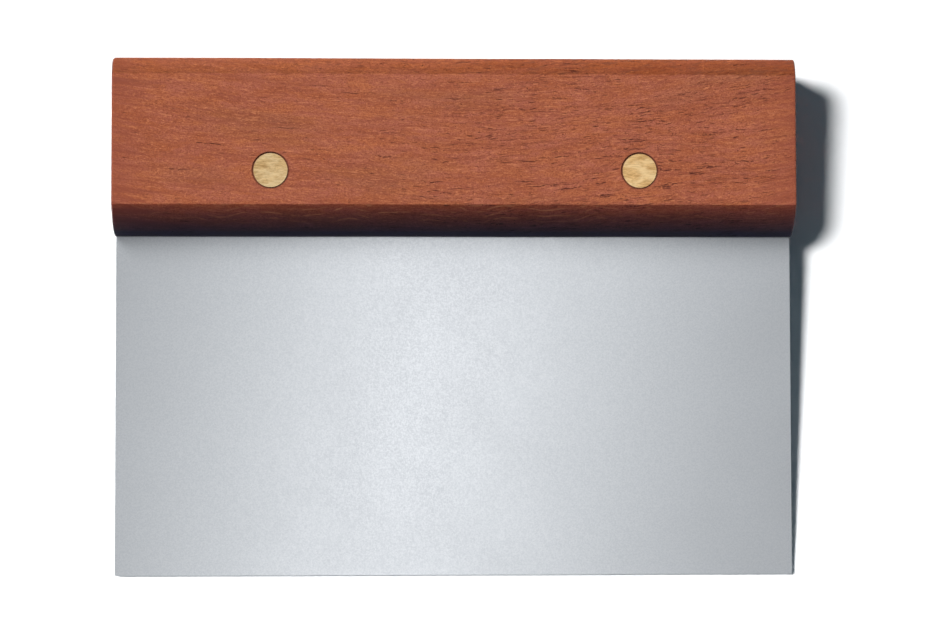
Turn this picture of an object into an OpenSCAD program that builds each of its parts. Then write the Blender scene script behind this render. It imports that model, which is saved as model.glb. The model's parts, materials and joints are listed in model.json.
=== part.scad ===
// Bench scraper, also called a dough cutter. A flat steel blade sits in a saw kerf along a
// one-piece wooden handle, held by two brass compression rivets. The scraper lies on its back:
// the scraping edge and the crease along the handle's rear face rest on Z = 0. +X runs along
// the edge and +Y from the edge towards the handle. All sizes are in millimetres.

/* [Blade] */
// Width of the blade, along its scraping edge
blade_w = 152.4; // [110:0.1:200]
// Height of the blade that shows below the handle
blade_h = 76.2; // [60:0.1:120]
// Thickness of the blade
blade_t = 1.2; // [0.8:0.1:2]
// Height of the tang hidden in the handle
tang_h = 28; // [20:0.5:32]
// Radius that breaks the blade's corners
blade_corner_r = 0.4; // [0.2:0.1:3]

/* [Handle] */
// How far each end of the handle stands past the blade
handle_overhang = 0.4; // [0:0.1:5]
// Height of the handle, from its lower edge to its top
handle_h = 39.7; // [38:0.1:60]
// Thickness of the handle, from its front face to its rear face
handle_t = 19; // [17:0.1:26]
// Room left in the kerf above the tang
kerf_room = 1.5; // [0.5:0.1:3]

/* [Handle edges] */
// Height of the rounded bevel along the lower edges
bevel_h = 6.6; // [4:0.1:8]
// Depth that the lower bevel takes off each face
bevel_drop = 7.6; // [5:0.1:7.8]
// How far the lower bevel bulges past a straight chamfer
bevel_bulge = 0.7; // [0.2:0.1:1.5]
// Height of the eased band along the top edges
top_h = 3.8; // [2:0.1:5]
// Depth that the eased band takes off each face
top_drop = 1.9; // [1:0.1:3]
// How far the eased band bulges past a straight chamfer
top_bulge = 0.3; // [0.1:0.1:0.6]

/* [Rivets] */
// Distance between the two rivets
rivet_spacing = 82.5; // [50:0.5:90]
// Height of the rivets above the handle's lower edge
rivet_rise = 14.2; // [13:0.1:18]
// Diameter of the rivet heads
head_d = 7.6; // [7:0.1:10]
// Thickness of the rivet heads
head_t = 2; // [1.5:0.1:3]
// Diameter of the female half's tube
tube_d = 4.8; // [4:0.1:5.5]
// Diameter of the male half's shank, which is a press fit in the tube
shank_d = 3.2; // [2.4:0.1:3.4]

/* [Fits] */
// Gap around each rivet head in its counterbore
head_gap = 0.25; // [0.1:0.05:0.4]
// Gap around the tube in the handle and the blade
tube_gap = 0.1; // [0.05:0.05:0.3]
// How far the rivet heads lie below the handle's faces
head_recess = 0.05; // [0:0.01:0.3]
// Length that the tube and the shank each stop short of the other's head
end_gap = 1; // [0.5:0.1:3]

/* [Hidden] */
$fn = 96;
SIDES = [-1, 1];
EXTRA = 1; // how far a cutter runs past the surface that it cuts
handle_w = blade_w + 2 * handle_overhang;
face = handle_t / 2; // from the blade's middle plane to either face of the handle
counterbore = head_t + head_recess;
seat = face - counterbore; // from the blade's middle plane to the underside of a head
tube_l = 2 * seat - end_gap;
// The lying scraper turns about X until the edge and the rear crease are level.
tilt = atan((face - blade_t / 2) / (blade_h + bevel_h));
lift = blade_t / 2 * cos(tilt);
// The span along Y runs from the edge's front corner to the rear end of the handle's top.
y_low = -blade_t / 2 * sin(tilt);
y_high = (blade_h + handle_h) * cos(tilt) + (face - top_drop) * sin(tilt);

// Lays the upright scraper down. Its own axes are X along the edge, Y up the blade from the
// edge and Z out of the front face, with the blade's middle plane at Z = 0.
module lying() {
    translate([0, -(y_low + y_high) / 2, lift]) rotate([tilt, 0, 0]) children();
}

// Places a shape with its own Z axis through a rivet's centre. side is -1 for the left rivet.
module at_rivet(side) {
    translate([side * rivet_spacing / 2, blade_h + rivet_rise, 0]) children();
}

// Radius of the arc that bulges by a given amount over a chord
function arc_r(chord, bulge) = chord * chord / (8 * bulge) + bulge / 2;

// What an eased edge takes off a corner at the origin: all that lies outside the arc from
// [run, 0] to [0, drop].
module corner_waste(run, drop, bulge) {
    chord = norm([run, drop]);
    r = arc_r(chord, bulge);
    inward = (r - bulge) / chord;
    difference() {
        translate([-EXTRA, -EXTRA]) square([run + 2 * EXTRA, drop + 2 * EXTRA]);
        translate([run / 2 + drop * inward, drop / 2 + run * inward]) circle(r);
    }
}

// The handle's section, with X up the blade from the lower edge and Y out of the front face
module handle_section() {
    difference() {
        translate([0, -face]) square([handle_h, handle_t]);
        for (flip = [0, 1]) mirror([0, flip]) {
            translate([0, -face]) corner_waste(bevel_h, bevel_drop, bevel_bulge);
            translate([handle_h, -face]) mirror([1, 0])
                corner_waste(top_h, top_drop, top_bulge);
        }
        translate([-EXTRA, -blade_t / 2]) square([tang_h + kerf_room + EXTRA, blade_t]);
    }
}

module blade() {
    inner_w = blade_w - 2 * blade_corner_r;
    full_h = blade_h + tang_h;
    color("silver") lying() difference() {
        translate([0, 0, -blade_t / 2]) linear_extrude(blade_t) union() {
            translate([-inner_w / 2, 0]) square([inner_w, full_h]);
            translate([-blade_w / 2, blade_corner_r]) square([blade_w, full_h - blade_corner_r]);
            for (side = SIDES) translate([side * inner_w / 2, blade_corner_r]) circle(blade_corner_r);
        }
        for (side = SIDES) at_rivet(side)
            cylinder(h = blade_t + 2 * EXTRA, r = tube_d / 2 + tube_gap, center = true);
    }
}

module handle() {
    color("sienna") lying() difference() {
        translate([-handle_w / 2, blade_h, 0]) rotate([90, 0, 90])
            linear_extrude(handle_w) handle_section();
        for (side = SIDES) at_rivet(side) {
            cylinder(h = handle_t + 2 * EXTRA, r = tube_d / 2 + tube_gap, center = true);
            for (flip = [0, 1]) mirror([0, 0, flip]) translate([0, 0, seat])
                cylinder(h = counterbore + EXTRA, r = head_d / 2 + head_gap);
        }
    }
}

// The half with the tube: its head shows on the front face.
module rivet_female(side) {
    color("khaki") lying() at_rivet(side) difference() {
        union() {
            translate([0, 0, seat]) cylinder(h = head_t, r = head_d / 2);
            translate([0, 0, seat - tube_l]) cylinder(h = tube_l + head_t / 2, r = tube_d / 2);
        }
        translate([0, 0, -seat]) cylinder(h = 2 * seat, r = shank_d / 2);
    }
}

// The half with the solid shank: its head shows on the rear face.
module rivet_male(side) {
    color("darkkhaki") lying() at_rivet(side) {
        translate([0, 0, -seat - head_t]) cylinder(h = head_t, r = head_d / 2);
        translate([0, 0, -seat - head_t / 2])
            cylinder(h = head_t / 2 + 2 * seat - end_gap, r = shank_d / 2);
    }
}

blade();
handle();
rivet_female(-1);  // rivet_left_female
rivet_male(-1);  // rivet_left_male
rivet_female(1);  // rivet_right_female
rivet_male(1);  // rivet_right_male
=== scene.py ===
"""Looks of a bench scraper: an oiled hardwood handle, a satin steel blade and flush brass rivets.

Sizes are in metres, and the patterns of the materials are in millimetres. The scraper's own axes are
X along its edge, S up the blade towards the handle and N out of its front face, and they start at
the middle of the handle's lower edge.
"""

import json
import math

import bmesh
import bpy
from mathutils import Matrix, Vector, noise


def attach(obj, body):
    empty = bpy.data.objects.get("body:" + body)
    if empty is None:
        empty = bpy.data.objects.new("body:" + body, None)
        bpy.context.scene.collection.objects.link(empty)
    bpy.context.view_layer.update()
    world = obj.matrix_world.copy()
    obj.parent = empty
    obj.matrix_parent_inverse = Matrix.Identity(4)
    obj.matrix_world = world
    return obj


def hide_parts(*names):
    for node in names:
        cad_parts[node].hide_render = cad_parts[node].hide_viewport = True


MM = 0.001

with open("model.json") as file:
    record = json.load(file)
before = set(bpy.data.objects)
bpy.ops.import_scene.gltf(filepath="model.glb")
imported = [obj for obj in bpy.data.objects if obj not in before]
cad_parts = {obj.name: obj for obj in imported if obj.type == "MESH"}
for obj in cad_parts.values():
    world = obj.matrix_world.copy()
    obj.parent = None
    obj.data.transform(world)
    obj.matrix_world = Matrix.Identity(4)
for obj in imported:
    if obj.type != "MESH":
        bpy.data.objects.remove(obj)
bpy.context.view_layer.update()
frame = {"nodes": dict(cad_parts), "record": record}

# ---------------------------------------------------------------- the scraper's own frame

mounts = {m["name"]: m for m in frame["record"]["mounts"]}
FRONT, REAR = (Vector(mounts[name]["pos_m"]) for name in ("front_face", "rear_face"))
AXIS_X = Vector((1, 0, 0))
AXIS_N = Vector(mounts["front_face"]["axis"]).normalized()
AXIS_S = AXIS_N.cross(AXIS_X)
MIDDLE = (FRONT + REAR) / 2


def span(node, axis):
    """The lowest and highest reach of a CAD node along an axis, from the middle of the handle."""
    along = [(v.co - MIDDLE).dot(axis) for v in frame["nodes"][node].data.vertices]
    return min(along), max(along)


handle_low, handle_high = span("handle", AXIS_S)
HANDLE_H = handle_high - handle_low
HANDLE_W = 2 * span("handle", AXIS_X)[1]
FACE = (FRONT - REAR).length / 2
BLADE_T = 2 * span("blade", AXIS_N)[1]
BLADE_H = handle_low - span("blade", AXIS_S)[0]
TANG_H = span("blade", AXIS_S)[1] - handle_low
head_left, head_right = span("rivet_left_female", AXIS_X)
HEAD_R = (head_right - head_left) / 2
RIVET_X = -(head_left + head_right) / 2
RIVET_S = sum(span("rivet_left_female", AXIS_S)) / 2 - handle_low
ORIGIN = MIDDLE + AXIS_S * handle_low
TO_WORLD = Matrix((AXIS_X, AXIS_S, AXIS_N)).transposed().to_4x4()
TO_WORLD.translation = ORIGIN


# ---------------------------------------------------------------- node helpers


class Graph:
    """A material's node tree, with short calls for the nodes that the materials share."""

    def __init__(self, name):
        self.mat = bpy.data.materials.new(name)
        self.mat.use_nodes = True
        self.tree = self.mat.node_tree
        self.tree.nodes.clear()
        self.shader = self.add("ShaderNodeBsdfPrincipled")
        out = self.add("ShaderNodeOutputMaterial")
        self.join(self.shader.outputs["BSDF"], out.inputs["Surface"])

    def add(self, kind, **settings):
        node = self.tree.nodes.new(kind)
        for key, value in settings.items():
            setattr(node, key, value)
        return node

    def join(self, source, socket):
        """Links an output, or sets a plain value, on a socket."""
        if isinstance(source, bpy.types.NodeSocket):
            self.tree.links.new(source, socket)
        else:
            socket.default_value = source

    def own_frame(self):
        """Millimetres along X, S and N, for any piece of the scraper."""
        local = self.add("ShaderNodeMapping", vector_type="TEXTURE")
        local.inputs["Location"].default_value = ORIGIN
        local.inputs["Rotation"].default_value = TO_WORLD.to_euler()
        local.inputs["Scale"].default_value = (MM, MM, MM)
        self.join(self.add("ShaderNodeTexCoord").outputs["Object"], local.inputs["Vector"])
        return local.outputs["Vector"]

    def stretch(self, vector, scale, shift=(0, 0, 0), turn=0.0):
        mapping = self.add("ShaderNodeMapping")
        mapping.inputs["Scale"].default_value = scale
        mapping.inputs["Location"].default_value = shift
        mapping.inputs["Rotation"].default_value = (0.0, 0.0, turn)
        self.join(vector, mapping.inputs["Vector"])
        return mapping.outputs["Vector"]

    def wander(self, vector, scale, reach):
        """Bends the space smoothly, so that fibres don't run dead straight."""
        shift = self.add("ShaderNodeVectorMath", operation="MULTIPLY_ADD")
        self.join(self.noise(vector, scale, out="Color"), shift.inputs[0])
        shift.inputs[1].default_value = reach
        self.join(vector, shift.inputs[2])
        return shift.outputs["Vector"]

    def noise(
        self, vector, scale, detail=2.0, roughness=0.5, distortion=0.0, shift=(0, 0, 0), out="Fac"
    ):
        """Noise whose features are 1 / scale millimetres long along each axis."""
        node = self.add("ShaderNodeTexNoise")
        node.inputs["Scale"].default_value = 1.0
        node.inputs["Detail"].default_value = detail
        node.inputs["Roughness"].default_value = roughness
        node.inputs["Distortion"].default_value = distortion
        self.join(self.stretch(vector, scale, shift), node.inputs["Vector"])
        return node.outputs[out]

    def split(self, vector):
        node = self.add("ShaderNodeSeparateXYZ")
        self.join(vector, node.inputs["Vector"])
        return node.outputs

    def math(self, operation, a, b=0.0):
        node = self.add("ShaderNodeMath", operation=operation)
        self.join(a, node.inputs[0])
        self.join(b, node.inputs[1])
        return node.outputs[0]

    def plus(self, a, b):
        return self.math("ADD", a, b)

    def minus(self, a, b):
        return self.math("SUBTRACT", a, b)

    def times(self, a, b):
        return self.math("MULTIPLY", a, b)

    def shade(self, share, colour, tint):
        """Multiplies a colour by a tint, as far as share says."""
        return self.mix(share, colour, self.mix(1.0, colour, tint, "MULTIPLY"))

    def remap(self, value, low, high, to_low=0.0, to_high=1.0, smooth=True):
        """Carries low..high to to_low..to_high, held at both ends."""
        node = self.add("ShaderNodeMapRange", interpolation_type="SMOOTHSTEP" if smooth else "LINEAR")
        self.join(value, node.inputs["Value"])
        ends = {"From Min": low, "From Max": high, "To Min": to_low, "To Max": to_high}
        for name, number in ends.items():
            self.join(number, node.inputs[name])
        return node.outputs["Result"]

    def mix(self, share, a, b, blend="MIX"):
        """Mixes two colours."""
        node = self.add("ShaderNodeMix", data_type="RGBA", blend_type=blend)
        self.join(share, node.inputs["Factor"])
        colours = [s for s in node.inputs if s.type == "RGBA"]
        self.join(a if isinstance(a, bpy.types.NodeSocket) else (*a, 1.0), colours[0])
        self.join(b if isinstance(b, bpy.types.NodeSocket) else (*b, 1.0), colours[1])
        return next(s for s in node.outputs if s.type == "RGBA")

    def dashes(self, vector, scale, size, chance, shift=(0, 0, 0)):
        """Short soft strokes, one or none in each cell that is 1 / scale millimetres long."""
        cell = self.add("ShaderNodeTexVoronoi")
        cell.inputs["Scale"].default_value = 1.0
        self.join(self.stretch(vector, scale, shift), cell.inputs["Vector"])
        # The cell's random colour decides whether it has a stroke, how long and how strong.
        red, green, blue = self.split(cell.outputs["Color"])
        reach = self.times(self.plus(green, 0.35), size)
        stroke = self.remap(cell.outputs["Distance"], self.times(reach, 0.35), reach, 1, 0)
        depth = self.times(stroke, self.remap(blue, 0.0, 1.0, 0.3, 1.0))
        return self.times(depth, self.math("LESS_THAN", red, chance))

    def bump(self, height, distance, strength):
        node = self.add("ShaderNodeBump")
        node.inputs["Strength"].default_value = strength
        node.inputs["Distance"].default_value = distance
        self.join(height, node.inputs["Height"])
        return node.outputs["Normal"]


# ---------------------------------------------------------------- materials

BEVEL_H = 6.6  # mm, from the lower edge to the crease
TOP_H = 3.8  # mm, the eased band along the top
GRAIN_BOW = 0.0009  # per mm, half the curvature of the grain lines
BAND_SLOPE = 0.1  # radians, how the dull bands at the left end slope down to the right
SOAKED_FROM, SOAKED_TO = 66, 79  # mm from the middle, where the oil has soaked in from the ends
SOAKED_RAGGED = 26.0  # mm, how much the streaks move the edge of the soaked wood
RING_SHADE_W = 0.32  # mm, how wide the painted shade is round each rivet's groove

# Colours of the wood, of the dirt on it and of the painted shade round the rivets.
RED = (0.345, 0.094, 0.040)
ORANGE = (0.415, 0.124, 0.051)
PINK = (0.375, 0.112, 0.066)
BROWN = (0.26, 0.098, 0.042)
DARK_STREAK = (0.235, 0.060, 0.034)
DARK_SPECK = (0.205, 0.052, 0.027)
PALE_SPECK = (0.56, 0.19, 0.085)
PALE_FIBRE = (0.60, 0.215, 0.10)
PORE = (0.070, 0.018, 0.014)
DULL_BAND = (0.235, 0.066, 0.042)
OILED_END = (0.245, 0.062, 0.036)
FIGURE = (0.48, 0.165, 0.08)
RING_SHADE = (0.12, 0.038, 0.021)
SOIL = (0.13, 0.040, 0.022)

# Tints that the wood's colour is multiplied by. The bevel's tints and the top band's are painted
# shade.
BEVEL_SHADE_TINTS = (1.0, 0.78, 0.82), (0.03, 0.07, 0.56)  # at the crease and near the lower edge
TOP_SHADE_TINTS = (0.76, 0.75, 0.66), (0.66, 0.58, 0.45)  # at the left and at the right
END_GRAIN_TINT = (0.5, 0.42, 0.42)


def bowed_grain(g, across, height, depth):
    """The space that the grain runs in: it sags in the middle, climbs to both ends and wanders."""
    bowed = g.add("ShaderNodeCombineXYZ")
    climb = g.times(g.times(across, across), GRAIN_BOW)
    for value, socket in zip((across, g.minus(height, climb), depth), bowed.inputs):
        g.join(value, socket)
    grain = g.wander(bowed.outputs[0], (0.018, 0.05, 0.05), (0.0, 6.0, 6.0))
    return g.wander(grain, (0.14, 0.5, 0.5), (0.0, 0.9, 0.9))


def plain_wood(g, grain, streak, speckle):
    """The wood's colour without its pores: broad patches, streaks, specks and pale fibres."""
    mottle = g.noise(grain, (0.05, 0.25, 0.25), detail=4, roughness=0.6)
    blush = g.noise(grain, (0.12, 0.45, 0.45), detail=5, roughness=0.65, shift=(4.0, 2.0, 6.0))
    patch = g.noise(grain, (0.022, 0.10, 0.10), detail=3, shift=(3.1, 7.7, 1.3))
    glint = g.noise(grain, (1.1, 4.0, 4.0), detail=3, roughness=0.7, shift=(5.0, 1.0, 8.0))
    fibre = g.dashes(grain, (0.26, 2.4, 1.3), 0.40, 0.5, shift=(0.0, 0.3, 4.0))
    colour = g.mix(g.remap(mottle, 0.34, 0.66), RED, ORANGE)
    colour = g.mix(g.remap(blush, 0.38, 0.62), colour, PINK)
    colour = g.mix(g.remap(patch, 0.55, 0.75, 0, 0.45), colour, BROWN)
    colour = g.mix(g.remap(streak, 0.40, 0.72, 0, 0.75), colour, DARK_STREAK)
    colour = g.mix(g.remap(speckle, 0.42, 0.66, 0, 0.9), colour, DARK_SPECK)
    colour = g.mix(g.remap(glint, 0.50, 0.72, 0, 0.75), colour, PALE_SPECK)
    return g.mix(g.times(fibre, 0.4), colour, PALE_FIBRE)


def open_pores(g, grain, across):
    """Where the open pores are, crowded towards the right end."""
    cluster = g.noise(grain, (0.03, 0.2, 0.2), detail=3, shift=(21.0, 5.0, 2.0))
    crowd = g.times(g.remap(cluster, 0.36, 0.64, 0.1, 1), g.remap(across, -45, 40, 0.12, 1.0))
    wavy = g.wander(grain, (0.22, 0.5, 0.5), (0.0, 1.3, 1.3))
    fine = g.dashes(wavy, (0.42, 4.2, 1.4), 0.45, g.times(crowd, 0.75), shift=(7.0, 1.0, 0.0))
    long = g.dashes(wavy, (0.13, 3.0, 0.8), 0.50, g.times(crowd, 0.65), shift=(1.0, 5.0, 9.0))
    long = g.times(long, g.remap(g.noise(wavy, (1.1, 2.5, 2.5), detail=3), 0.36, 0.52))
    dots = g.dashes(wavy, (1.5, 2.8, 1.4), 0.33, g.times(crowd, 0.25), shift=(4.0, 4.0, 1.0))
    return g.math("MAXIMUM", g.math("MAXIMUM", fine, long), dots)


def aged_ends(g, colour, own, across, streak):
    """Broad dull bands cross the left end, and both ends have soaked up more oil."""
    sloped = g.stretch(own, (1, 1, 1), turn=BAND_SLOPE)
    band = g.noise(sloped, (0.02, 0.38, 0.38), detail=4, shift=(2.0, 6.0, 0.0))
    dull = g.times(g.remap(band, 0.48, 0.68), g.remap(across, -74, -28, 0.85, 0.08))
    colour = g.mix(dull, colour, DULL_BAND)
    soak = g.plus(g.math("ABSOLUTE", across), g.times(g.minus(streak, 0.5), SOAKED_RAGGED))
    return g.mix(g.remap(soak, SOAKED_FROM, SOAKED_TO, 0, 0.6), colour, OILED_END)


def bevel_shade_and_figure(g, colour, own, across, height, depth, ragged):
    """The bevels darken downwards towards a cool tint, which is painted shade where they turn away
    from the light, and broken lines of pale figure show along their upper half.
    """
    bevel = g.remap(g.plus(height, ragged), BEVEL_H - 0.15, BEVEL_H + 0.1, 1, 0)
    # Painted shade: the colour darkens and cools down the bevel, where it turns away from the light.
    tint = g.mix(g.remap(height, 0.8, BEVEL_H, 1, 0, smooth=False), *BEVEL_SHADE_TINTS)
    colour = g.shade(bevel, colour, tint)
    sweep = g.times(g.noise(own, (0.07, 0.0, 0.0), detail=1, shift=(6.0, 3.0, 1.0)), 7.0)
    rings = g.plus(g.times(g.plus(height, depth), 0.45), sweep)
    fray = g.times(g.noise(own, (0.22, 1.8, 1.8), detail=4, roughness=0.6), 0.9)
    phase = g.math("FRACT", g.plus(rings, fray))
    line = g.times(g.remap(phase, 0.62, 0.84), g.remap(phase, 0.84, 1.0, 1, 0))
    where = g.noise(own, (0.15, 0.9, 0.9), detail=4, roughness=0.65, shift=(3.3, 0, 0))
    where = g.times(g.remap(where, 0.44, 0.60), g.remap(across, -66, -46, 0.25, 1))
    where = g.times(where, g.remap(across, 5, 60, 1, 0.35))
    upper = g.times(bevel, g.remap(height, 2.0, 5.5))
    return g.mix(g.times(g.times(g.times(line, where), upper), 0.95), colour, FIGURE)


def rivet_ring_shade(g, colour, across, height):
    """Painted shade darkens the wood in a narrow ring round each rivet's groove."""
    aside = g.add("ShaderNodeCombineXYZ")
    g.join(g.minus(g.math("ABSOLUTE", across), RIVET_X / MM), aside.inputs[0])
    g.join(g.minus(height, RIVET_S / MM), aside.inputs[1])
    reach = g.add("ShaderNodeVectorMath", operation="LENGTH")
    g.join(aside.outputs[0], reach.inputs[0])
    rim = (HEAD_R + HEAD_GAP) / MM
    # Painted shade round the recess: darkest at the groove's rim, fading outwards.
    return g.mix(g.remap(reach.outputs["Value"], rim, rim + RING_SHADE_W, 0.8, 0), colour, RING_SHADE)


def top_shade_and_soil(g, colour, grain, across, height, ragged):
    """The eased band along the top is tinted darker as painted shade and blotched with dirt, both more
    so towards the right.
    """
    line = HANDLE_H / MM - TOP_H
    top = g.remap(g.plus(height, ragged), line - 0.3, line + 0.2)
    # Painted shade: the band's colour is multiplied darker and warmer, more towards the right.
    colour = g.shade(top, colour, g.mix(g.remap(across, -60, 60), *TOP_SHADE_TINTS))
    soil = g.noise(grain, (0.30, 1.8, 1.8), detail=5, roughness=0.7, shift=(8.0, 2.0, 3.0))
    low, high = (g.remap(across, -70, 40, *ends) for ends in ((0.58, 0.48), (0.72, 0.64)))
    return g.mix(g.times(top, g.remap(soil, low, high, 0, 0.65)), colour, SOIL)


def end_grain(g, colour):
    """The sawn ends are darker."""
    facing = g.split(g.add("ShaderNodeTexCoord").outputs["Normal"])[0]
    end = g.remap(g.math("ABSOLUTE", facing), 0.5, 0.9)
    return g.shade(g.times(end, 0.8), colour, END_GRAIN_TINT)


def wood():
    g = Graph("oiled_hardwood")
    own = g.own_frame()
    across, height, depth = g.split(own)
    grain = bowed_grain(g, across, height, depth)
    streak = g.noise(grain, (0.07, 1.3, 1.3), detail=5, roughness=0.65)
    speckle = g.noise(grain, (2.7, 3.6, 3.6), detail=3, roughness=0.8, shift=(2.0, 8.0, 5.0))
    pore = open_pores(g, grain, across)
    ragged = g.times(g.minus(g.noise(own, (0.5, 1.5, 1.5), detail=4), 0.5), 0.9)

    colour = plain_wood(g, grain, streak, speckle)
    colour = g.mix(g.times(pore, 0.92), colour, PORE)
    colour = aged_ends(g, colour, own, across, streak)
    colour = bevel_shade_and_figure(g, colour, own, across, height, depth, ragged)
    colour = rivet_ring_shade(g, colour, across, height)
    colour = top_shade_and_soil(g, colour, grain, across, height, ragged)
    colour = end_grain(g, colour)
    g.join(colour, g.shader.inputs["Base Color"])
    rough = g.plus(g.remap(streak, 0.3, 0.7, 0.45, 0.55), g.times(pore, 0.25))
    g.join(rough, g.shader.inputs["Roughness"])
    g.shader.inputs["IOR"].default_value = 1.45
    g.shader.inputs["Specular IOR Level"].default_value = 0.15
    relief = g.minus(g.times(speckle, 0.5), pore)
    g.join(g.bump(relief, 0.05 * MM, 0.8), g.shader.inputs["Normal"])
    return g.mat


STEEL_TONES = (0.595, 0.62, 0.65), (0.69, 0.71, 0.735)


def steel():
    g = Graph("satin_steel")
    own = g.own_frame()
    speck = g.noise(own, (2.7, 2.7, 2.7), detail=3, roughness=0.8)
    cloud = g.noise(own, (0.05, 0.05, 0.05), detail=2)
    g.join(g.mix(g.remap(speck, 0.32, 0.68), *STEEL_TONES), g.shader.inputs["Base Color"])
    # A blasted surface scatters part of its light like a matte one.
    g.shader.inputs["Metallic"].default_value = 0.75
    broad = g.remap(cloud, 0.3, 0.7, 0.378, 0.398)
    # The paler specks are smoother too, so the grain sparkles most where the steel is bright.
    fine = g.remap(speck, 0.3, 0.7, 0.035, -0.035)
    g.join(g.plus(broad, fine), g.shader.inputs["Roughness"])
    grain = g.noise(own, (3.0, 3.0, 3.0), detail=3, roughness=0.7, shift=(3.0, 1.0, 0.0))
    g.join(g.bump(grain, 0.012 * MM, 0.45), g.shader.inputs["Normal"])
    return g.mat


BRASS_TONES = (0.46, 0.285, 0.11), (0.86, 0.64, 0.32)
PALE_BRASS = (0.88, 0.72, 0.42)
BRASS_SCRATCH = (0.40, 0.25, 0.10)
RIVET_TINTS = (1.07, 1.0, 0.97), (1.18, 1.05, 0.95)  # of the left rivet and of the right one


def brass():
    g = Graph("ground_brass")
    own = g.own_frame()
    across = g.split(own)[0]
    lines = g.noise(own, (0.45, 2.0, 2.0), detail=5, roughness=0.8, distortion=0.3)
    blotch = g.noise(own, (0.25, 0.5, 0.5), detail=4, roughness=0.6, shift=(5.0, 2.0, 0.0))
    scratch = g.dashes(own, (0.35, 4.0, 1.0), 0.5, 0.5)
    colour = g.mix(g.remap(lines, 0.32, 0.68), *BRASS_TONES)
    colour = g.mix(g.remap(blotch, 0.40, 0.68, 0, 0.85), colour, PALE_BRASS)
    colour = g.mix(g.times(scratch, 0.6), colour, BRASS_SCRATCH)
    tint = g.mix(g.remap(across, -20, 20), *RIVET_TINTS)
    g.join(g.mix(1.0, colour, tint, "MULTIPLY"), g.shader.inputs["Base Color"])
    g.shader.inputs["Metallic"].default_value = 0.85
    g.join(g.remap(lines, 0.3, 0.7, 0.36, 0.5), g.shader.inputs["Roughness"])
    g.join(g.bump(g.minus(lines, scratch), 0.02 * MM, 0.6), g.shader.inputs["Normal"])
    return g.mat


# ---------------------------------------------------------------- the handle

BEVEL_DROP = 7.6 * MM  # how far the corners of the lower edge lie inside the faces
BEVEL_BULGE = 0.7 * MM  # how far the bevel's curve stands out from its chord
TOP_DROP = 1.9 * MM  # how far the corners of the top lie inside the faces
TOP_BULGE = 0.3 * MM
KERF_ROOM = 1.5 * MM  # left free above the tang
COUNTERBORE = 2.05 * MM  # how deep the rivet heads' seats are
HEAD_GAP = 0.25 * MM  # the groove that shows round each head
CLOSE_GAP = 0.04 * MM  # round the buried part of a head, below the groove that shows
GROOVE_DEEP = 0.22 * MM
GROOVE_SHIFT = (-0.06 * MM, -0.02 * MM)  # the grooves aren't quite centred on the heads
TUBE_HOLE_R = 2.5 * MM
RIM_EASE = 0.12 * MM

# How far from each corner of the section its softening starts.
LIP_SOFT = 0.35 * MM
CREASE_SOFT = 0.12 * MM
SHOULDER_SOFT = 0.5 * MM
TOP_SOFT = 0.45 * MM

END_EASE = 0.45 * MM
TOP_WEAR = {-1: 1.1 * MM, 1: 0.6 * MM}  # run and drop of the worn top corners, left and right
LOW_WEAR = {-1: (0.5 * MM, 1.5 * MM), 1: (0.4 * MM, 0.8 * MM)}  # run and drop of the lower corners
CLOSE_STEP = 0.2 * MM  # between the stations in the worn stretches
EVEN_FROM = 1.6 * MM  # from the eased ends to the first evenly spaced station
SWAY = 0.05 * MM  # how much the faces are uneven
SWAY_BIAS = 0.6  # how many times that the middle of the waves lies inside the CAD's surface
SWAY_SPAN = 0.03, 0.012  # how long the waves are along the handle and across it
WELD = 0.003 * MM  # points closer than this are made one after the cuts
SHARP_FROM = math.radians(32)


def arc(a, b, bulge, steps):
    """Points on the arc from a to b that stands bulge proud of the line, on its right-hand side."""
    a, b = Vector(a), Vector(b)
    chord = b - a
    r = chord.length_squared / (8 * bulge) + bulge / 2
    half = math.asin(chord.length / (2 * r))
    out = Vector((chord.y, -chord.x)).normalized()
    centre = (a + b) / 2 + out * (bulge - r)
    turn = math.atan2((a - centre).y, (a - centre).x)
    return [
        centre + r * Vector((math.cos(t), math.sin(t)))
        for t in (turn + 2 * half * i / steps for i in range(steps + 1))
    ]


def straight(a, b, steps):
    a, b = Vector(a), Vector(b)
    return [a.lerp(b, i / steps) for i in range(steps + 1)]


def softened(path, steps=4):
    """Replaces each corner of a closed path that has a softening by a short curve."""
    found = []
    for i, (point, soft) in enumerate(path):
        if not soft:
            found.append(point)
            continue
        before, after = path[i - 1][0], path[(i + 1) % len(path)][0]
        start = point + (before - point).normalized() * soft
        end = point + (after - point).normalized() * soft
        for k in range(steps + 1):
            t = k / steps
            found.append(start.lerp(point, t).lerp(point.lerp(end, t), t))
    return found


def handle_outline():
    """The section's outline in (S, N), without the kerf, anticlockwise from the lower edge."""
    crease = BEVEL_H * MM
    shoulder = HANDLE_H - TOP_H * MM
    lip = FACE - BEVEL_DROP
    rim = FACE - TOP_DROP
    half = [(Vector((0.0, -0.4 * lip)), 0), (Vector((0.0, -lip)), LIP_SOFT)]
    half += [(p, 0) for p in arc((0.0, -lip), (crease, -FACE), BEVEL_BULGE, steps=14)[1:-1]]
    half += [(Vector((crease, -FACE)), CREASE_SOFT)]
    half += [(p, 0) for p in straight((crease, -FACE), (shoulder, -FACE), steps=22)[1:-1]]
    half += [(Vector((shoulder, -FACE)), SHOULDER_SOFT)]
    half += [(p, 0) for p in arc((shoulder, -FACE), (HANDLE_H, -rim), TOP_BULGE, steps=8)[1:-1]]
    half += [(Vector((HANDLE_H, -rim)), TOP_SOFT)]
    half += [(p, 0) for p in straight((HANDLE_H, -rim), (HANDLE_H, 0.0), steps=8)[1:]]
    return softened(half + [(Vector((p.x, -p.y)), soft) for p, soft in reversed(half[:-1])])


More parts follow.
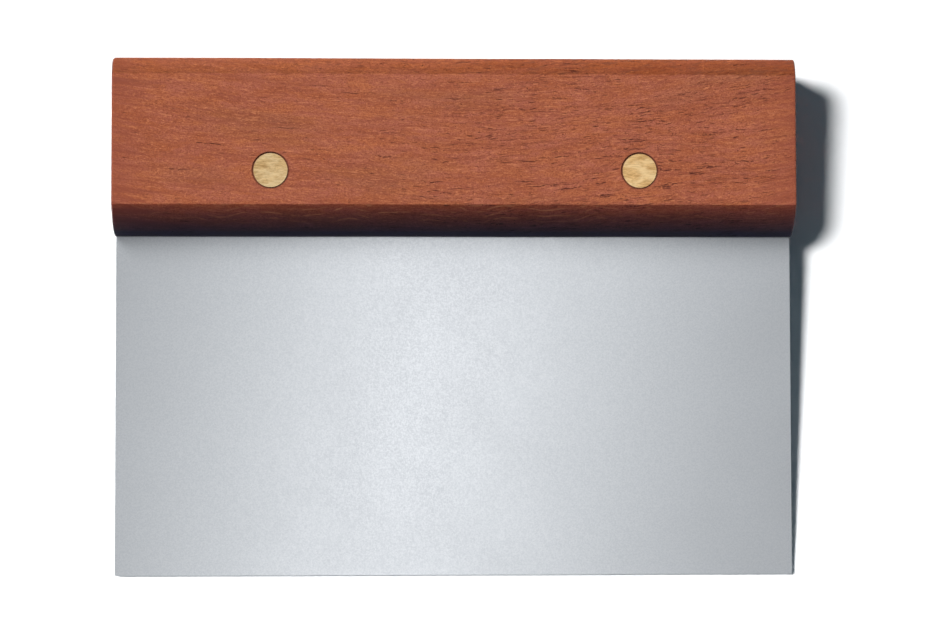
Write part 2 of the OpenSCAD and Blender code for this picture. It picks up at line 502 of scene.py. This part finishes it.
def end_stations(half_w, ease, steps=5, close=4, middle=120):
    """Places along X with how far the section has drawn in there: eased ends, even middle."""
    found = []
    for i in range(steps + 1):
        turn = math.pi / 2 * i / steps
        found.append((-half_w + ease * (1 - math.sin(turn)), ease * (1 - math.cos(turn))))
    found.reverse()
    inner = half_w - ease
    found += [(-inner + CLOSE_STEP * i, 0.0) for i in range(1, close + 1)]
    found += [(-x, inset) for x, inset in found]
    reach = inner - EVEN_FROM
    return sorted(found + [(-reach + 2 * reach * i / middle, 0.0) for i in range(middle + 1)])


def worn(x, run, drop):
    """How far an edge has been knocked down at x: drop at the very end, nothing from run inwards."""
    part = max(1 - (HANDLE_W / 2 - abs(x)) / run, 0)
    return drop * (1 - math.sqrt(1 - min(part, 1) ** 2))


def cut(obj, cutter):
    """Takes one mesh away from another and removes the cutter."""
    step = obj.modifiers.new("cut", "BOOLEAN")
    step.operation, step.solver, step.object = "DIFFERENCE", "EXACT", cutter
    dg = bpy.context.evaluated_depsgraph_get()
    mesh = bpy.data.meshes.new_from_object(obj.evaluated_get(dg))
    obj.modifiers.clear()
    obj.data = mesh
    bpy.data.objects.remove(cutter)


def new_object(name, bm):
    mesh = bpy.data.meshes.new(name)
    bm.to_mesh(mesh)
    bm.free()
    obj = bpy.data.objects.new(name, mesh)
    bpy.context.scene.collection.objects.link(obj)
    return obj


def box_cutter(low, high):
    bm = bmesh.new()
    bmesh.ops.create_cube(bm, size=1.0)
    low, high = Vector(low), Vector(high)
    for v in bm.verts:
        v.co = TO_WORLD @ ((low + high) / 2 + Vector(a * b for a, b in zip(v.co, high - low)))
    return new_object("cutter", bm)


def skin(bm, rings):
    """Joins rings of points into one closed tube."""
    count = len(rings[0])
    for a, b in zip(rings, rings[1:]):
        for i in range(count):
            j = (i + 1) % count
            bm.faces.new((a[i], b[i], b[j], a[j]))
    bm.faces.new(rings[0])
    bm.faces.new(reversed(rings[-1]))
    bmesh.ops.recalc_face_normals(bm, faces=bm.faces)


def rivet_cutter(x, s, sides=72):
    """A rivet's stepped hole, turned in one piece, with the grooves round its heads."""
    groove = HEAD_R + HEAD_GAP
    eased = groove + 2 * RIM_EASE
    close = HEAD_R + CLOSE_GAP
    off_centre = (x + GROOVE_SHIFT[0], s + GROOVE_SHIFT[1])
    front = [
        (2 * FACE, eased, off_centre),
        (FACE + RIM_EASE, eased, off_centre),
        (FACE - RIM_EASE, groove, off_centre),
        (FACE - GROOVE_DEEP, groove, off_centre),
        (FACE - GROOVE_DEEP, close, (x, s)),
        (FACE - COUNTERBORE, close, (x, s)),
        (FACE - COUNTERBORE, TUBE_HOLE_R, (x, s)),
    ]
    bm = bmesh.new()
    rings = []
    for n, r, centre in front + [(-n, r, centre) for n, r, centre in reversed(front)]:
        turns = (2 * math.pi * i / sides for i in range(sides))
        points = (Vector((centre[0] + r * math.cos(t), centre[1] + r * math.sin(t), n)) for t in turns)
        rings.append([bm.verts.new(TO_WORLD @ point) for point in points])
    skin(bm, rings)
    return new_object("cutter", bm)


def handle_block():
    """The handle before its kerf and its holes are cut."""
    outline = handle_outline()
    count = len(outline)
    normals = []
    for i in range(count):
        tangent = (outline[(i + 1) % count] - outline[i - 1]).normalized()
        normals.append(Vector((tangent.y, -tangent.x)))
    bm = bmesh.new()
    rings = []
    along, across = SWAY_SPAN
    for x, inset in end_stations(HANDLE_W / 2, END_EASE):
        side = -1 if x < 0 else 1
        top_wear = TOP_WEAR[side]
        ring = []
        for p, n in zip(outline, normals):
            wave = noise.noise(Vector((x / along, p.x / across, p.y / across)))
            q = p + n * min(SWAY * (wave - SWAY_BIAS), 0)
            q.x += inset * (1 - 2 * q.x / HANDLE_H)
            q.y *= 1 - inset / FACE
            q.x = min(q.x, HANDLE_H - inset - worn(x, top_wear, top_wear))
            q.x = max(q.x, inset + worn(x, *LOW_WEAR[side]))
            ring.append(bm.verts.new(TO_WORLD @ Vector((x, q.x, q.y))))
        rings.append(ring)
    skin(bm, rings)
    return new_object("handle_wood", bm)


def handle():
    obj = handle_block()
    past = 10 * MM
    kerf_end = HANDLE_W / 2 + past
    cut(obj, box_cutter((-kerf_end, -past, -BLADE_T / 2), (kerf_end, TANG_H + KERF_ROOM, BLADE_T / 2)))
    for side in (-1, 1):
        cut(obj, rivet_cutter(side * RIVET_X, RIVET_S))
    bm = bmesh.new()
    bm.from_mesh(obj.data)
    bmesh.ops.remove_doubles(bm, verts=bm.verts, dist=WELD)
    bm.to_mesh(obj.data)
    bm.free()
    for face in obj.data.polygons:
        face.use_smooth = True
    obj.data.set_sharp_from_angle(angle=SHARP_FROM)
    obj.data.materials.clear()
    obj.data.materials.append(wood())
    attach(obj, "root")
    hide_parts("handle")
    return obj


# ---------------------------------------------------------------- the metal pieces

BLADE_EASE = 0.06 * MM  # how wide the broken edges are
HEAD_EASE = 0.08 * MM
EASED_FROM = math.radians(50)


def finish_metal(node, material, ease):
    """Gives a CAD node its metal and breaks its sharp edges."""
    obj = frame["nodes"][node]
    obj.data.materials.clear()
    obj.data.materials.append(material)
    edges = obj.modifiers.new("broken_edges", "BEVEL")
    edges.width, edges.segments, edges.limit_method = ease, 2, "ANGLE"
    edges.angle_limit = EASED_FROM
    edges.harden_normals = True


handle()
finish_metal("blade", steel(), BLADE_EASE)
head_metal = brass()
for side in ("left", "right"):
    for half in ("female", "male"):
        finish_metal(f"rivet_{side}_{half}", head_metal, HEAD_EASE)


# ---------------------------------------------------------------- floor, light and camera

FLOOR_SIZE = 12.0
KEY_FROM = Vector((-0.56, 0.85, 1.0))  # from the upper left of the camera's view
KEY_ANGLE = math.radians(26)
KEY_POWER = 5.5
FLOOR_KEY_FROM = Vector((-0.64, 0.10, 1.0))
FLOOR_KEY_ANGLE = math.radians(15)
FLOOR_KEY_POWER = 4.6
STRIP_AT = Vector((0.2, -40, 405)) * MM  # in the scraper's own frame, straight above the blade
STRIP_SIZE = (0.068, 0.46)
STRIP_POWER = 0.367
STRIP_TURN = math.radians(-9.2)
ROOM_COLOUR = (0.94, 0.97, 1.0, 1)  # of the room that shows in reflections
ROOM_WALLS, ROOM_CEILING = 0.72, 0.0  # how bright it is
WALL_TOP = 0.6  # sine of the height at which the walls begin to darken towards the ceiling
SKY_COLOUR = (0.68, 1.03, 1.27, 1)  # what fills the shadows
SKY_STRENGTH = 0.07
FLOOR_COLOUR = (0.93, 0.93, 0.935, 1)


def floor():
    bm = bmesh.new()
    bmesh.ops.create_grid(bm, x_segments=8, y_segments=8, size=FLOOR_SIZE / 2)
    obj = new_object("floor", bm)
    g = Graph("pale_floor")
    g.shader.inputs["Base Color"].default_value = FLOOR_COLOUR
    g.shader.inputs["Roughness"].default_value = 0.9
    g.shader.inputs["Specular IOR Level"].default_value = 0.0
    obj.data.materials.append(g.mat)
    return obj


def lamp(name, kind, power, matrix, **settings):
    data = bpy.data.lights.new(name, kind)
    data.energy = power
    for key, value in settings.items():
        setattr(data, key, value)
    obj = bpy.data.objects.new(name, data)
    obj.matrix_world = matrix
    obj.visible_camera = False
    bpy.context.scene.collection.objects.link(obj)
    return obj


def key_light(name, towards, power, angle, floor_obj, state):
    """A soft sun that lights either the floor or everything but the floor."""
    turn = towards.to_track_quat("Z", "Y").to_matrix().to_4x4()
    key = lamp(name, "SUN", power, Matrix.Translation(towards) @ turn, angle=angle)
    key.visible_glossy = False
    lit = bpy.data.collections.new(name + "_lights")
    lit.objects.link(floor_obj)
    lit.collection_objects[0].light_linking.link_state = state
    key.light_linking.receiver_collection = lit


def lights(floor_obj):
    key_light("key", KEY_FROM, KEY_POWER, KEY_ANGLE, floor_obj, "EXCLUDE")
    key_light("floor_key", FLOOR_KEY_FROM, FLOOR_KEY_POWER, FLOOR_KEY_ANGLE, floor_obj, "INCLUDE")
    strip_place = TO_WORLD @ Matrix.Translation(STRIP_AT) @ Matrix.Rotation(STRIP_TURN, 4, "Z")
    width, length = STRIP_SIZE
    strip = lamp(
        "strip", "AREA", STRIP_POWER, strip_place, shape="RECTANGLE", size=width, size_y=length
    )
    strip.visible_diffuse = False


def surroundings():
    """White to the camera, a room in reflections and a weak cool sky for all other light."""
    world = bpy.data.worlds.new("studio")
    world.use_nodes = True
    tree = world.node_tree
    tree.nodes.clear()
    out = tree.nodes.new("ShaderNodeOutputWorld")
    paths = tree.nodes.new("ShaderNodeLightPath")
    dim, gloss, white = (tree.nodes.new("ShaderNodeBackground") for _ in range(3))
    dim.inputs["Color"].default_value = SKY_COLOUR
    dim.inputs["Strength"].default_value = SKY_STRENGTH
    gloss.inputs["Color"].default_value = ROOM_COLOUR
    upward = tree.nodes.new("ShaderNodeSeparateXYZ")
    fade = tree.nodes.new("ShaderNodeMapRange")
    fade.inputs["From Min"].default_value = WALL_TOP
    fade.inputs["To Min"].default_value = ROOM_WALLS
    fade.inputs["To Max"].default_value = ROOM_CEILING
    tree.links.new(tree.nodes.new("ShaderNodeTexCoord").outputs["Generated"], upward.inputs[0])
    tree.links.new(upward.outputs["Z"], fade.inputs["Value"])
    tree.links.new(fade.outputs["Result"], gloss.inputs["Strength"])
    white.inputs["Color"].default_value = (1, 1, 1, 1)
    first, second = (tree.nodes.new("ShaderNodeMixShader") for _ in range(2))
    tree.links.new(paths.outputs["Is Glossy Ray"], first.inputs[0])
    tree.links.new(dim.outputs[0], first.inputs[1])
    tree.links.new(gloss.outputs[0], first.inputs[2])
    tree.links.new(paths.outputs["Is Camera Ray"], second.inputs[0])
    tree.links.new(first.outputs[0], second.inputs[1])
    tree.links.new(white.outputs[0], second.inputs[2])
    tree.links.new(second.outputs[0], out.inputs["Surface"])
    bpy.context.scene.world = world
    bpy.context.scene.view_settings.view_transform = "Standard"


CAMERA_AT = Vector((-20.2, 26.2, 601.8)) * MM  # from the middle of the scraping edge
CAMERA_PITCH = math.radians(2.972)
CAMERA_YAW = math.radians(-2.106)
CAMERA_LENS = 103.61  # mm, over Blender's usual 36 mm sensor


def camera():
    data = bpy.data.cameras.new("camera")
    data.lens = CAMERA_LENS
    obj = bpy.data.objects.new("camera", data)
    turn = Matrix.Rotation(CAMERA_PITCH, 4, "X") @ Matrix.Rotation(CAMERA_YAW, 4, "Y")
    edge = Vector((0, -BLADE_H, 0))
    obj.matrix_world = TO_WORLD @ Matrix.Translation(CAMERA_AT + edge) @ turn
    bpy.context.scene.collection.objects.link(obj)
    bpy.context.scene.camera = obj


lights(floor())
surroundings()
camera()
